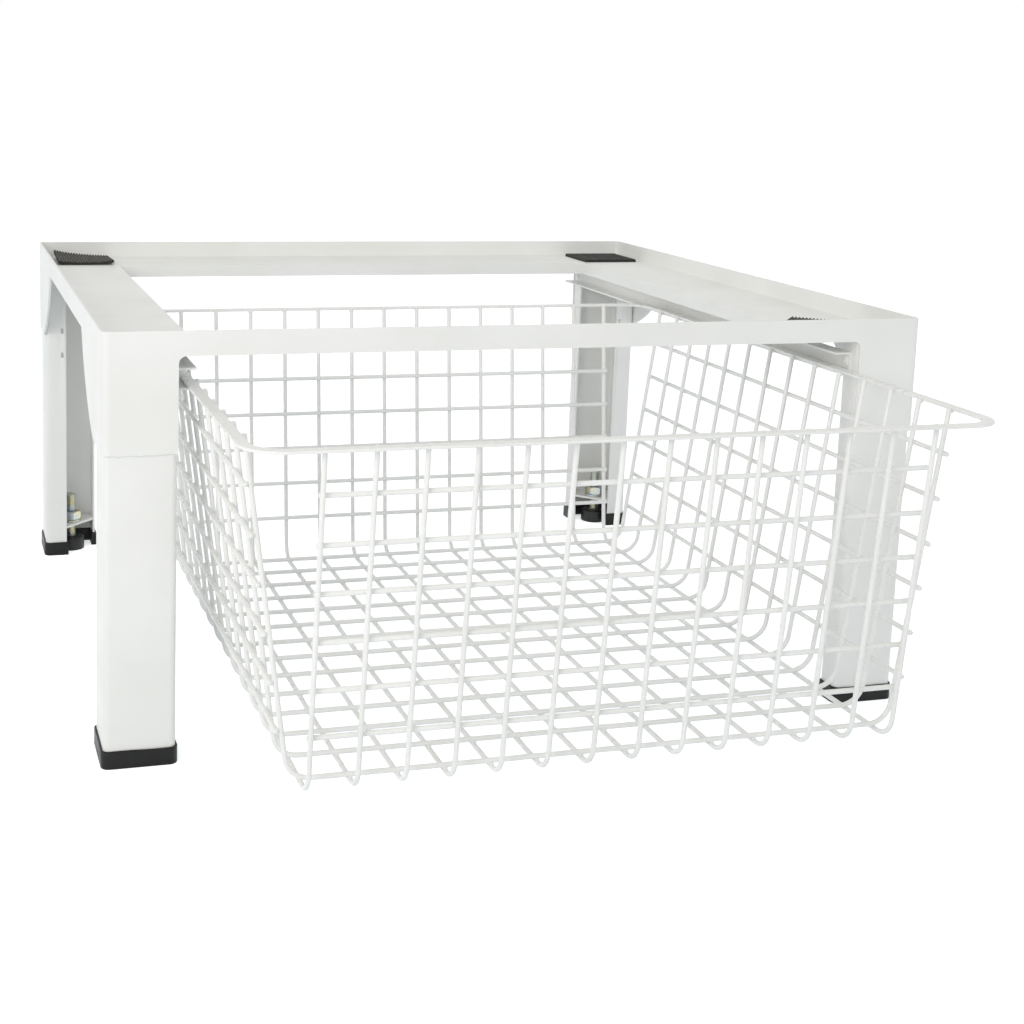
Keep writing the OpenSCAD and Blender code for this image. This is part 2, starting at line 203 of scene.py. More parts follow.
def addNode(tree, kind, settings=None, links=None):
    node = tree.nodes.new(kind)
    for name, value in (settings or {}).items():
        if isinstance(name, int) or name in node.inputs:
            node.inputs[name].default_value = value
        else:
            setattr(node, name, value)
    for name, source in (links or {}).items():
        tree.links.new(source, node.inputs[name])
    return node


def perMetre(sizeInMm):
    # Noise at scale 1 has features about one unit across
    return 1000 / sizeInMm


def startMaterial(name):
    material = bpy.data.materials.new(name)
    material.use_nodes = True
    tree = material.node_tree
    tree.nodes.clear()
    place = addNode(tree, "ShaderNodeTexCoord").outputs["Object"]
    return material, tree, place


def endMaterial(tree, shader):
    addNode(tree, "ShaderNodeOutputMaterial", links={"Surface": shader.outputs[0]})


def blendColours(tree, factor, first, second):
    mixed = addNode(tree, "ShaderNodeMix", {"data_type": "RGBA", 6: linear(first), 7: linear(second)}, {0: factor})
    return mixed.outputs[2]


def spread(tree, value, low, high, newLow, newHigh):
    ends = {"From Min": low, "From Max": high, "To Min": newLow, "To Max": newHigh}
    ranged = addNode(tree, "ShaderNodeMapRange", ends, {"Value": value})
    return ranged.outputs["Result"]


def addNoise(tree, place, sizeInMm, detail):
    settings = {"Scale": perMetre(sizeInMm), "Detail": detail}
    return addNode(tree, "ShaderNodeTexNoise", settings, {"Vector": place}).outputs["Fac"]


def coatMaterial(name, look):
    material, tree, place = startMaterial(name)
    cloud = addNoise(tree, place, look["cloudSize"], 3.0)
    peel = addNoise(tree, place, look["peelSize"], 2.0)
    sag = addNoise(tree, place, look["sagSize"], 1.0)
    colour = blendColours(tree, spread(tree, cloud, 0.35, 0.65, 0.0, 1.0), look["deep"], look["light"])
    rough = spread(tree, sag, 0.3, 0.7, look["glossy"], look["dull"])
    waves = addNode(tree, "ShaderNodeBump", {"Strength": look["sagDepth"], "Distance": look["sagRise"] * mm},
                    {"Height": sag})
    skin = addNode(tree, "ShaderNodeBump", {"Strength": look["peelDepth"], "Distance": look["peelRise"] * mm},
                   {"Height": peel, "Normal": waves.outputs["Normal"]})
    shader = addNode(tree, "ShaderNodeBsdfPrincipled", {"IOR": 1.5, "Metallic": 0.0},
                     {"Base Color": colour, "Roughness": rough, "Normal": skin.outputs["Normal"]})
    endMaterial(tree, shader)
    return material


# Polyester powder coat, sprayed and baked: a soft satin white with faint orange peel,
# drawn 3 mm wide where the real one is about 1 mm, so that it shows
powderLook = {"deep": "#EDEDEA", "light": "#F2F2F0", "cloudSize": 90,
              "peelSize": 3, "peelDepth": 0.12, "peelRise": 0.15,
              "sagSize": 25, "sagDepth": 0.06, "sagRise": 0.4, "glossy": 0.34, "dull": 0.46}
powderCoat = coatMaterial("white_powder_coat", powderLook)

# The same powder on thin wire, where it flows together: glossier, with slow thick and thin places
wireLook = {"deep": "#EDEDEA", "light": "#F3F3F1", "cloudSize": 60,
            "peelSize": 2.5, "peelDepth": 0.05, "peelRise": 0.15,
            "sagSize": 14, "sagDepth": 0.04, "sagRise": 0.4, "glossy": 0.24, "dull": 0.36}
wireCoat = coatMaterial("white_wire_coat", wireLook)


def zincMaterial(name, look):
    material, tree, place = startMaterial(name)
    tint = addNoise(tree, place, look["tintSize"], 2.0)
    grain = addNoise(tree, place, look["grainSize"], 3.0)
    colour = blendColours(tree, spread(tree, tint, 0.4, 0.6, 0.0, 1.0), look["yellow"], look["blue"])
    rough = spread(tree, grain, 0.3, 0.7, look["bright"], look["dull"])
    bump = addNode(tree, "ShaderNodeBump", {"Strength": look["grainDepth"], "Distance": look["grainRise"] * mm},
                   {"Height": grain})
    shader = addNode(tree, "ShaderNodeBsdfPrincipled", {"Metallic": 1.0},
                     {"Base Color": colour, "Roughness": rough, "Normal": bump.outputs["Normal"]})
    endMaterial(tree, shader)
    return material


# Zinc plated and passivated steel: bright, with faint yellow and blue clouds over a fine matt grain
zincLook = {"yellow": "#CFCBAE", "blue": "#BFC9D2", "tintSize": 9,
            "grainSize": 1.2, "grainDepth": 0.25, "grainRise": 0.05, "bright": 0.24, "dull": 0.42}
zincPlate = zincMaterial("zinc_plate", zincLook)


def rubberMaterial(name, look):
    material, tree, place = startMaterial(name)
    bloom = addNoise(tree, place, look["bloomSize"], 4.0)
    grain = addNoise(tree, place, look["grainSize"], 2.0)
    colour = blendColours(tree, spread(tree, bloom, 0.35, 0.7, 0.0, 1.0), look["deep"], look["dusty"])
    if "ribTopDustAndShade" in look:
        # Painted shade: the grooves between the ribs stay dark, and the ribs' tops are lighter, partly from dust
        bent = addNode(tree, "ShaderNodeNewGeometry").outputs["Pointiness"]
        ribDustAndGrooveShade = addNode(tree, "ShaderNodeMix", {"data_type": "RGBA", 7: linear(look["ribTopDustAndShade"])},
                       {0: spread(tree, bent, look["grooveBend"], look["ribBend"], 0.0, 1.0), 6: colour})
        colour = ribDustAndGrooveShade.outputs[2]
    rough = spread(tree, bloom, 0.3, 0.7, look["glossy"], look["dull"])
    bump = addNode(tree, "ShaderNodeBump", {"Strength": look["grainDepth"], "Distance": look["grainRise"] * mm},
                   {"Height": grain})
    shader = addNode(tree, "ShaderNodeBsdfPrincipled", {"IOR": look["ior"], "Specular IOR Level": look["shine"]},
                     {"Base Color": colour, "Roughness": rough, "Normal": bump.outputs["Normal"]})
    endMaterial(tree, shader)
    return material


# Moulded natural rubber: near black, softly shining, with a little grey bloom on it
bootLook = {"deep": "#151515", "dusty": "#1F1F1E", "bloomSize": 18,
            "grainSize": 1.4, "grainDepth": 0.2, "grainRise": 0.1,
            "glossy": 0.3, "dull": 0.5, "ior": 1.52, "shine": 0.25}
bootRubber = rubberMaterial("boot_rubber", bootLook)

# Extruded ribbed rubber sheet: a flatter, dustier grey black, with painted shade in the grooves between the lighter
# rib tops
padLook = {"deep": "#242422", "dusty": "#30302D", "ribTopDustAndShade": "#76726A", "grooveBend": 0.495, "ribBend": 0.515,
           "bloomSize": 7, "grainSize": 0.9, "grainDepth": 0.35, "grainRise": 0.1,
           "glossy": 0.5, "dull": 0.75, "ior": 1.52, "shine": 0.3}
padRubber = rubberMaterial("pad_rubber", padLook)

# Injection moulded polyamide: black with a dull gloss from the mould
footLook = {"deep": "#161616", "dusty": "#1F1F1F", "bloomSize": 12,
            "grainSize": 0.8, "grainDepth": 0.15, "grainRise": 0.1,
            "glossy": 0.3, "dull": 0.45, "ior": 1.53, "shine": 0.4}
footPlastic = rubberMaterial("foot_plastic", footLook)
print("materials made")


# Stand: rails, posts, legs, plates and runners keep the CAD's forms with rolled edges

sheetValues = {"edge": 0.55, "postEdge": 0.8, "rimTop": 0.8, "legEdge": 0.5, "plateEdge": 0.4, "runnerEdge": 0.4,
               "deckBend": 2.2, "rimBend": 1.4, "rimFootReach": 4.5, "mitreWidth": 0.08}


def cornerDistances(co):
    dx = stand["halfWidth"] - abs(co.x)
    dy = min(co.y - stand["front"], stand["back"] - co.y)
    return dx, dy


def onMitre(first, second):
    distances = [cornerDistances(co) for co in (first, second)]
    return all(abs(dx - dy) <= sheetValues["mitreWidth"] for dx, dy in distances)


def onWeld(first, second):
    # The posts are welded flush under the rails, with no line to see
    return all(abs(co.z - stand["deckUnder"]) < closeBy for co in (first, second)) or onMitre(first, second)


def bevelWhere(bm, wanted, width, segments):
    edges = [edge for edge in bm.edges if isCorner(edge) and wanted(*[vert.co / mm for vert in edge.verts])]
    if edges:
        bmesh.ops.bevel(bm, geom=edges, offset=width * mm, offset_type="OFFSET", affect="EDGES", segments=segments,
                        profile=0.5, material=-1, clamp_overlap=True)


def deckInner(first, second):
    # The outer side of the fold from the deck down to the short inner flange
    return all(abs(co.z - stand["deckTop"]) < closeBy and abs(min(cornerDistances(co)) - stand["deckWidth"]) < closeBy
               for co in (first, second)) and not onMitre(first, second)


def railShare(first, second):
    # The rim's top is rounded fully, and the other edges less
    onTop = all(abs(co.z - stand["rim"]) < closeBy for co in (first, second))
    return 1.0 if onTop else sheetValues["edge"] / sheetValues["rimTop"]


def rimFoot(first, second):
    # The fold from the deck up to the rim
    return all(abs(co.z - stand["deckTop"]) < closeBy and min(cornerDistances(co)) < sheetValues["rimFootReach"]
               for co in (first, second)) and not onMitre(first, second)


for side in ("front", "rear", "left", "right"):
    node = side + "_rail"
    bm = cleanCopy(node)
    bevelWhere(bm, deckInner, sheetValues["deckBend"], 4)
    bevelWhere(bm, rimFoot, sheetValues["rimBend"], 3)
    weighEdges(bm, onWeld, railShare)
    rail = finishPiece(side + "_rail_dressed", bm, powderCoat, "frame", [node])
    roundEdges(rail, sheetValues["rimTop"], 3)

for corner in cornerNames:
    for part in ("post", "leg", "plate"):
        node = corner + "_" + part
        bm = cleanCopy(node)
        weighEdges(bm, onWeld)
        piece = finishPiece(node + "_dressed", bm, powderCoat, "frame", [node])
        roundEdges(piece, sheetValues[part + "Edge"])

for side in ("left", "right"):
    node = side + "_runner"
    bm = cleanCopy(node)
    weighEdges(bm, lambda first, second: False)
    piece = finishPiece(node + "_dressed", bm, powderCoat, "frame", [node])
    roundEdges(piece, sheetValues["runnerEdge"])
print("stand made")


# Weld seams along the lower edges of the posts

seamValues = {"radius": 1.1, "segments": 8, "step": 2.5, "wander": 0.35, "lumps": 0.18, "sunk": 0.5, "drop": 0.2,
              "faceWidth": 50, "foldRadius": 6, "foldSteps": 5}


def seamBead(bm, corner, path, random):
    # A low uneven bead along points given as distances from the two outer faces
    places = [fromCorner(corner, dx, dy, z) for dx, dy, z in path]
    values = seamValues
    facing = (places[1] - places[0]).normalized()
    ring = startCircle(bm, values["radius"] * mm, values["segments"], places[0], facing)
    closeRing(bm, ring)
    for here, there in zip(places, places[1:]):
        lump = 1 + random.uniform(-values["lumps"], values["lumps"])
        ring = pushOn(bm, ring, there - here)
        verts = ringVerts(ring)
        middle = sum((vert.co for vert in verts), Vector()) / len(verts)
        for vert in verts:
            vert.co = middle + (vert.co - middle).normalized() * values["radius"] * lump * mm
    closeRing(bm, ring)


def seamPath(random):
    # Across the post's face, round its folded corner and back along the side
    values = seamValues
    width = values["faceWidth"]
    fold = values["foldRadius"]
    flat = stand["sheet"] - values["sunk"]
    count = int((width - fold) / values["step"])
    places = []
    for index in range(count + 1):
        places.append((width - (width - fold) * index / count, flat))
    for index in range(1, values["foldSteps"]):
        angle = pi / 2 * index / values["foldSteps"]
        reach = fold - flat
        places.append((fold - reach * sin(angle), fold - reach * cos(angle)))
    for index in range(count + 1):
        places.append((flat, fold + (width - fold) * index / count))
    level = stand["seam"] - values["drop"]
    return [(dx, dy, level + random.uniform(-1, 1) * values["wander"]) for dx, dy in places]


seamRandom = Random(11)
bm = bmesh.new()
for corner in cornerNames:
    seamBead(bm, corner, seamPath(seamRandom), seamRandom)
finishPiece("post_weld_seams", bm, powderCoat, "frame", [], sharp=80)
print("weld seams made")


# Rubber boots and pads

bootValues = {"edge": 1.1, "slice": 7, "cutWithin": 0.001, "uneven": 0.35, "unevenSize": 16,
              "unevenAbove": 8, "unevenStep": 3.7, "dentSeed": 7}
padValues = {"width": 55, "looseWidth": 51, "thick": 3, "inset": 8.8, "looseInset": 12.8,
             "ribs": 20, "ribDepth": 1.3, "ribFlatness": 3, "stepsPerRib": 8, "stepsAlong": 16,
             "askewTurn": 40, "askewX": 50, "askewY": 57,
             "cornerHeight": 4.5, "cornerCurve": 1.5, "outerHeight": 1.2, "outerLength": 20,
             "innerHeight": 2.2, "innerLength": 22}


def slices(bm, step, axis, low, high):
    # Cuts long faces across, so that they can be made uneven
    place = low + step
    while place < high - step / 2:
        normal = Vector((0, 0, 0))
        normal[axis] = 1
        bmesh.ops.bisect_plane(bm, geom=bm.verts[:] + bm.edges[:] + bm.faces[:], dist=bootValues["cutWithin"] * mm,
                               plane_co=normal * place * mm, plane_no=normal, clear_inner=False, clear_outer=False)
        place += step


def makeUneven(bm, values, number):
    # The boots stay flat where they stand, and each has its own dents further up
    for vert in bm.verts:
        if vert.co.z > values["unevenAbove"] * mm:
            away = Vector((number * values["unevenStep"], 0, 0))
            vert.co += noise.noise_vector(vert.co * perMetre(values["unevenSize"]) + away) * values["uneven"] * mm


noise.seed_set(bootValues["dentSeed"])  # so that the boots' dents are the same at each run
for number, corner in enumerate(cornerNames):
    node = corner + "_boot"
    low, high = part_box(node)
    bm = cleanCopy(node)
    slices(bm, bootValues["slice"], 0, low.x / mm, high.x / mm)
    slices(bm, bootValues["slice"], 1, low.y / mm, high.y / mm)
    weighEdges(bm, lambda first, second: False)
    makeUneven(bm, bootValues, number)
    boot = finishPiece(node + "_dressed", bm, bootRubber, "frame", [node])
    roundEdges(boot, bootValues["edge"], 3)


def padSkin(bm, top):
    # One side of a pad, whose upper side has narrow grooves between rounded ribs
    values = padValues
    made = bmesh.ops.create_grid(bm, x_segments=values["ribs"] * values["stepsPerRib"],
                                 y_segments=values["stepsAlong"], size=values["width"] / 2 * mm)["verts"]
    for vert in made:
        turn = (vert.co.x / mm / values["width"] + 0.5) * values["ribs"]
        groove = values["ribDepth"] * abs(cos(pi * turn)) ** values["ribFlatness"]
        vert.co.z = (values["thick"] - groove) * mm if top else 0


def curlUp(across, back):
    # The loose pad's outer back corner stands up most, and both of its ends a little.
    # across runs from the pad's outer edge in mm, and back from 0 at its front to 1 at its back.
    values = padValues
    outer = max(0, 1 - across / values["outerLength"])
    inner = max(0, 1 - (values["looseWidth"] - across) / values["innerLength"])
    corner = values["cornerHeight"] * back * (1 - across / values["looseWidth"]) ** values["cornerCurve"]
    return corner + values["outerHeight"] * outer ** 2 + values["innerHeight"] * (1 - back) * inner ** 2


def placePad(bm, corner):
    values = padValues
    half = values["width"] / 2
    turn = radians(values["askewTurn"])
    shrink = values["looseWidth"] / values["width"]
    for vert in bm.verts:
        x, y, z = vert.co / mm
        dx, dy = values["inset"] + half + x, values["inset"] + half + y
        if corner == "front_right":
            dx = values["askewX"] + x * cos(turn) - y * sin(turn)
            dy = values["askewY"] + x * sin(turn) + y * cos(turn)
        elif corner == "rear_left":
            dx = values["looseInset"] + (half + x) * shrink
            z += curlUp((half + x) * shrink, (half - y) / values["width"])
        vert.co = fromCorner(corner, dx, dy, stand["deckTop"] + z)


for corner in cornerNames:
    bm = bmesh.new()
    padSkin(bm, True)
    walls = bmesh.ops.extrude_edge_only(bm, edges=[edge for edge in bm.edges if edge.is_boundary])["geom"]
    for vert in vertsIn(walls):
        vert.co.z = 0
    padSkin(bm, False)
    bmesh.ops.remove_doubles(bm, verts=bm.verts, dist=mergeWithin * mm)
    placePad(bm, corner)
    finishPiece(corner + "_pad_ribbed", bm, padRubber, "frame", [corner + "_pad"])
print("rubber parts made")


# Levelling feet: threaded studs, lock nuts, washers and round feet

# Bottoms and tops are heights above the floor. The thread's outline is shares of the way from root to crest
# and of the pitch. The foot's rims are insets from its outside and heights from its bottom or top.
studValues = {"centre": 26.4, "bottom": 4.2, "top": 54, "crest": 5.0, "root": 4.15, "pitch": 1.5, "steps": 20,
              "thread": [(0, 0), (0, 0.12), (1, 0.44), (1, 0.56), (0, 0.88), (0, 1)],
              "spareTurns": 2, "mergeWithin": 0.02, "point": 0.8, "pointShrink": 0.84}
nutValues = {"bottom": 29, "height": 8, "across": 17, "clearance": 0.25, "lead": 0.6, "leadHeight": 0.5,
             "faceInset": 0.2, "chamfer": 0.9, "turned": 14, "segments": 48}
washerValues = {"bottom": 27, "thick": 2, "across": 20, "clearance": 0.3, "edge": 0.3, "edgeHeight": 0.4,
                "groove": 0.35, "grooveHalf": 0.1, "segments": 36}
footValues = {"across": 26, "height": 12, "segments": 44,
              "under": [(0, 0.6), (9, 0.6), (9.6, 0)],
              "lowerRim": [(0.8, 0), (0.2, 0.25), (0, 0.9)],
              "upperRim": [(0, 1.6), (0.5, 0.5), (1.6, 0)],
              "socket": [(6.6, 0), (6.2, 0.4), (5.4, 0.4), (0, 0.4)]}


def cutOff(bm, place, normal):
    # Takes away what lies beyond a plane, and gives back the edges of the cut
    made = bmesh.ops.bisect_plane(bm, geom=bm.verts[:] + bm.edges[:] + bm.faces[:], dist=cutWithin * mm,
                                  plane_co=place, plane_no=normal, clear_inner=False, clear_outer=True)
    return [item for item in made["geom_cut"] if isinstance(item, bmesh.types.BMEdge)]


def threadedStud(centre):
    # The thread is turned up from its outline, then cut to length, with a short point at the top
    bm = bmesh.new()
    values = studValues
    pitch = values["pitch"]
    height = values["top"] - values["bottom"]
    depth = values["crest"] - values["root"]
    outline = [point(values["root"] + share * depth, 0, along * pitch) for share, along in values["thread"]]
    verts = [bmesh.ops.create_vert(bm, co=place)["vert"][0] for place in outline]
    edges = [bm.edges.new(pair) for pair in zip(verts, verts[1:])]
    turns = int(height / pitch) + values["spareTurns"]
    bmesh.ops.spin(bm, geom=verts + edges, cent=(0, 0, 0), axis=(0, 0, 1), dvec=(0, 0, pitch / values["steps"] * mm),
                   angle=2 * pi * turns, steps=turns * values["steps"], use_merge=False, use_normal_flip=False,
                   use_duplicate=False)
    bmesh.ops.remove_doubles(bm, verts=bm.verts, dist=values["mergeWithin"] * mm)
    bmesh.ops.translate(bm, verts=bm.verts, vec=(0, 0, -pitch * mm))
    top = cutOff(bm, point(0, 0, height - values["point"]), (0, 0, 1))
    closeRing(bm, pushOn(bm, top, point(0, 0, values["point"]), values["pointShrink"]))
    closeRing(bm, cutOff(bm, point(0, 0, 0), (0, 0, -1)))
    bmesh.ops.translate(bm, verts=bm.verts, vec=centre + point(0, 0, values["bottom"]))
    return bm


def hexNut(bm, centre):
    # A turned blank with chamfered ends, whose six flats are cut after that
    values = nutValues
    half = values["across"] / 2
    corner = half / cos(radians(30))
    face = half - values["faceInset"]
    bore = studValues["crest"] + values["clearance"]
    lead = bore + values["lead"]
    height = values["height"]
    low, high = values["leadHeight"], height - values["leadHeight"]
    part = bmesh.new()
    lathe(part, [(bore, low), (lead, 0), (face, 0), (corner, values["chamfer"]), (corner, height - values["chamfer"]),
                 (face, height), (lead, height), (bore, high), (bore, low)], Vector(), values["segments"])
    for side in range(6):
        angle = radians(60 * side + values["turned"])
        normal = Vector((cos(angle), sin(angle), 0))
        cut = cutOff(part, normal * half * mm, normal)
        bmesh.ops.holes_fill(part, edges=cut, sides=0)
    bmesh.ops.translate(part, verts=part.verts, vec=centre)
    addPart(bm, part)


def washer(bm, centre):
    # Pressed steel, with rounded edges and a faint line round its rim
    values = washerValues
    hole = studValues["crest"] + values["clearance"]
    outside = values["across"] / 2
    edge, groove = outside - values["edge"], outside - values["groove"]
    thick, rise = values["thick"], values["edgeHeight"]
    low, high = thick / 2 - values["grooveHalf"], thick / 2 + values["grooveHalf"]
    lathe(bm, [(hole, 0), (edge, 0), (outside, rise), (outside, low), (groove, thick / 2), (outside, high),
               (outside, thick - rise), (edge, thick), (hole, thick), (hole, 0)], centre, values["segments"])


def roundFoot(centre):
    values = footValues
    bm = bmesh.new()
    radius = values["across"] / 2
    tall = values["height"]
    outline = values["under"] + [(radius - inset, height) for inset, height in values["lowerRim"]]
    outline += [(radius - inset, tall - drop) for inset, drop in values["upperRim"]]
    outline += [(reach, tall - drop) for reach, drop in values["socket"]]
    lathe(bm, outline, centre, values["segments"])
    return bm


nuts = bmesh.new()
washers = bmesh.new()
for corner in cornerNames:
    centre = fromCorner(corner, studValues["centre"], studValues["centre"], 0)
    body = "foot_" + corner
    stud = threadedStud(centre)
    finishPiece(corner + "_stud_threaded", stud, zincPlate, body, [corner + "_stud"], sharp=50)
    hexNut(nuts, centre + point(0, 0, nutValues["bottom"]))
    washer(washers, centre + point(0, 0, washerValues["bottom"]))
    foot = roundFoot(centre)
    finishPiece(corner + "_foot_moulded", foot, footPlastic, body, [corner + "_foot"], sharp=50)
finishPiece("lock_nuts_chamfered", nuts, zincPlate, "frame", ["lock_nuts"], sharp=20)
finishPiece("washers_pressed", washers, zincPlate, "frame", ["washers"], sharp=35)
print("levelling feet made")


# Screws that hold the runners

screwValues = {"web": 248.5, "level": 261.1, "fromEnd": 16.3, "across": 7, "rise": 1.0, "shank": 4, "reach": 6,
               "head": [(1, 0), (1, 0.35), (0.8, 0.85), (0.5, 1)], "recess": 2.4, "recessFloor": (0.7, 0.2),
               "segments": 24}


def panScrew(bm, place, inward):
    # The head's outline is shares of its radius and height, and the recess's floor likewise
    values = screwValues
    part = bmesh.new()
    radius, shank, recess = values["across"] / 2, values["shank"] / 2, values["recess"] / 2
    rise = values["rise"]
    floorReach, floorHeight = values["recessFloor"]
    outline = [(0, -values["reach"]), (shank, -values["reach"]), (shank, 0)]
    outline += [(radius * share, rise * height) for share, height in values["head"]]
    outline += [(recess, rise), (recess * floorReach, rise * floorHeight), (0, rise * floorHeight)]
    lathe(part, outline, Vector(), values["segments"])
    turn = Vector((0, 0, 1)).rotation_difference(Vector((inward, 0, 0))).to_matrix().to_4x4()
    bmesh.ops.transform(part, matrix=Matrix.Translation(place) @ turn, verts=part.verts)
    addPart(bm, part)


screws = bmesh.new()
for side in (-1, 1):
    for y in (stand["front"] + screwValues["fromEnd"], stand["back"] - screwValues["fromEnd"]):
        panScrew(screws, point(side * screwValues["web"], y, screwValues["level"]), -side)
finishPiece("runner_screws_painted", screws, powderCoat, "frame", ["runner_screws"], sharp=40)
print("screws made")


# Basket: bent wires, level wires, rim and weld spots

# Foot and top are how far a wall's upright wires stand from the basket's middle at its floor and at its rim
basketValues = {"middle": -98.35, "top": 256.9, "outerLevel": 40.7, "innerLevel": 44.15,
                "endFoot": 235.55, "endTop": 260.55, "sideFoot": 204.25, "sideTop": 233.25,
                "wire": 1.7, "layer": 3.45, "bend": 16, "bendSteps": 7, "roundness": 12, "drift": 0.2,
                "longPitch": 30.1, "crossPitch": 33.6, "count": 14, "levels": 6, "firstLevel": 30, "levelPitch": 30.4,
                "endLevelHalf": 197.35, "sideLevelHalf": 221.3}
spotValues = {"radius": 1.75, "flatness": 0.7, "around": 8, "rows": 5,
              "clearOfBend": 14, "rimOut": 1.4, "rimDown": 2.2}
rimValues = {"edge": 0.7, "levelWithin": 1}
up = Vector((0, 0, 1))


def bentWire(whole, foot, top, level, shift, across):
    # One wire from the rim down a wall, along the floor and up the other wall.
    # It runs along y where across is False, and along x where it is True.
    bm = bmesh.new()
    values = basketValues
    radius = values["wire"] * mm
    run = Vector((1, 0, 0)) if across else Vector((0, 1, 0))
    side = Vector((0, 1, 0)) if across else Vector((1, 0, 0))
    origin = Vector((0, values["middle"], 0)) + side * shift
    wall = (run * (top - foot) + up * (values["top"] - level)).normalized()
    farWall = (run * (foot - top) + up * (values["top"] - level)).normalized()
    length = hypot(top - foot, values["top"] - level)
    half = run.angle(wall) / 2
    cut = values["bend"] * sin(half) / cos(half)  # how far before the corner the bend begins
    down = -farWall
    angle = down.angle(run)
    axis = down.cross(run).normalized()
    startRing = startCircle(bm, radius, values["roundness"], (origin - run * top + up * values["top"]) * mm, farWall)
    ring = pushOn(bm, startRing, down * (length - cut) * mm)
    centre = origin - run * foot + up * level - down * cut
    centre += (run - down * run.dot(down)).normalized() * values["bend"]
    ring = turnOn(bm, ring, centre * mm, axis, angle, values["bendSteps"])
    ring = pushOn(bm, ring, run * 2 * (foot - cut) * mm)
    centre = origin + run * (foot - cut) + up * (level + values["bend"])
    ring = turnOn(bm, ring, centre * mm, axis, angle, values["bendSteps"])
    ring = pushOn(bm, ring, wall * (length - cut) * mm)
    domeEnd(bm, ring, wall, radius)
    domeEnd(bm, startRing, farWall, radius)
    addPart(whole, bm)


def straightWire(bm, start, end):
    radius = basketValues["wire"] * mm
    along = (end - start).normalized()
    first = startCircle(bm, radius, basketValues["roundness"], start * mm, along)
    last = pushOn(bm, first, (end - start) * mm)
    domeEnd(bm, last, along, radius)
    domeEnd(bm, first, -along, radius)


def weldSpot(place, squash):
    # The coat fills the corner where two wires cross
    values = spotValues
    turn = squash.to_track_quat("Z", "Y").to_matrix().to_4x4()
    shape = Matrix.Translation(place * mm) @ turn @ Matrix.Diagonal((1.0, 1.0, values["flatness"], 1))
    part = bmesh.new()
    bmesh.ops.create_uvsphere(part, u_segments=values["around"], v_segments=values["rows"],
                              radius=values["radius"] * mm, matrix=shape)
    addPart(weldSpots, part)


def drift():
    return wireRandom.uniform(-1, 1) * basketValues["drift"]


def wireStack(pitch):
    # The wires stand at even distances, each a little off as welded ones are
    count = basketValues["count"]
    return [(index - (count - 1) / 2) * pitch + drift() for index in range(count)]


wireRandom = Random(5)
values = basketValues
longShifts = wireStack(values["longPitch"])
crossShifts = wireStack(values["crossPitch"])
longWires = bmesh.new()
for shift in longShifts:
    bentWire(longWires, values["endFoot"], values["endTop"], values["outerLevel"], shift, False)
crossWires = bmesh.new()
for shift in crossShifts:
    bentWire(crossWires, values["sideFoot"], values["sideTop"], values["innerLevel"], shift, True)
for name, wires in (("basket_long_wires", longWires), ("basket_cross_wires", crossWires)):
    finishPiece(name, wires, wireCoat, "basket", ["floor_mesh", "floor_bends"], sharp=60)

# The level wires lie inside the end walls' upright wires, and outside the side walls' ones
endWalls = {"nodes": ("front_mesh", "rear_mesh"), "out": Vector((0, 1, 0)), "along": Vector((1, 0, 0)), "inside": 1,
            "foot": values["endFoot"], "top": values["endTop"], "level": values["outerLevel"],
            "half": values["endLevelHalf"], "shifts": longShifts}
sideWalls = {"nodes": ("left_mesh", "right_mesh"), "out": Vector((1, 0, 0)), "along": Vector((0, 1, 0)), "inside": -1,
             "foot": values["sideFoot"], "top": values["sideTop"], "level": values["innerLevel"],
             "half": values["sideLevelHalf"], "shifts": crossShifts}
middle = Vector((0, values["middle"], 0))
weldSpots = bmesh.new()
for wall in (endWalls, sideWalls):
    for node, sign in zip(wall["nodes"], (-1, 1)):
        bm = bmesh.new()
        out = wall["out"] * sign
        slope = out * (wall["top"] - wall["foot"]) + up * (values["top"] - wall["level"])
        rise = slope.normalized()
        inward = up * rise.dot(out) - out * rise.z
        layer = inward * wall["inside"] * values["layer"]
        for level in range(values["levels"]):
            reach = slope.length - values["firstLevel"] - level * values["levelPitch"] + drift()
            place = middle + out * wall["foot"] + up * wall["level"] + rise * reach
            half = wall["along"] * wall["half"]
            straightWire(bm, place + layer - half, place + layer + half)
            for shift in wall["shifts"]:
                weldSpot(place + layer / 2 + wall["along"] * shift, inward)
        finishPiece(node + "_levels", bm, wireCoat, "basket", [node], sharp=60)

floorLevel = (values["outerLevel"] + values["innerLevel"]) / 2
rimLevel = values["top"] - spotValues["rimDown"]
for shift in longShifts:
    for other in crossShifts:
        if abs(shift) < values["sideFoot"] - spotValues["clearOfBend"] \
                and abs(other) < values["endFoot"] - spotValues["clearOfBend"]:
            weldSpot(middle + Vector((shift, other, floorLevel)), up)
for shift in longShifts:
    for sign in (-1, 1):
        weldSpot(middle + Vector((shift, sign * (values["endTop"] + spotValues["rimOut"]), rimLevel)), up)
for shift in crossShifts:
    for sign in (-1, 1):
        weldSpot(middle + Vector((sign * (values["sideTop"] + spotValues["rimOut"]), shift, rimLevel)), up)
finishPiece("basket_weld_spots", weldSpots, wireCoat, "basket", [], sharp=80)

bm = cleanCopy("basket_rim")
weighEdges(bm, lambda first, second: abs(first.z - second.z) > rimValues["levelWithin"])
rim = finishPiece("basket_rim_rolled", bm, wireCoat, "basket", ["basket_rim"])
roundEdges(rim, rimValues["edge"], 3)
print("basket made")


# Floor, lights, background and camera

stageValues = {"floorHalf": 6, "floorColour": "#EEF3F8", "floorRoughness": 0.6, "floorLift": 0.58,
               "horizonLight": 1.16, "zenithLight": 0.6, "skyColour": "#F0F1F0"}


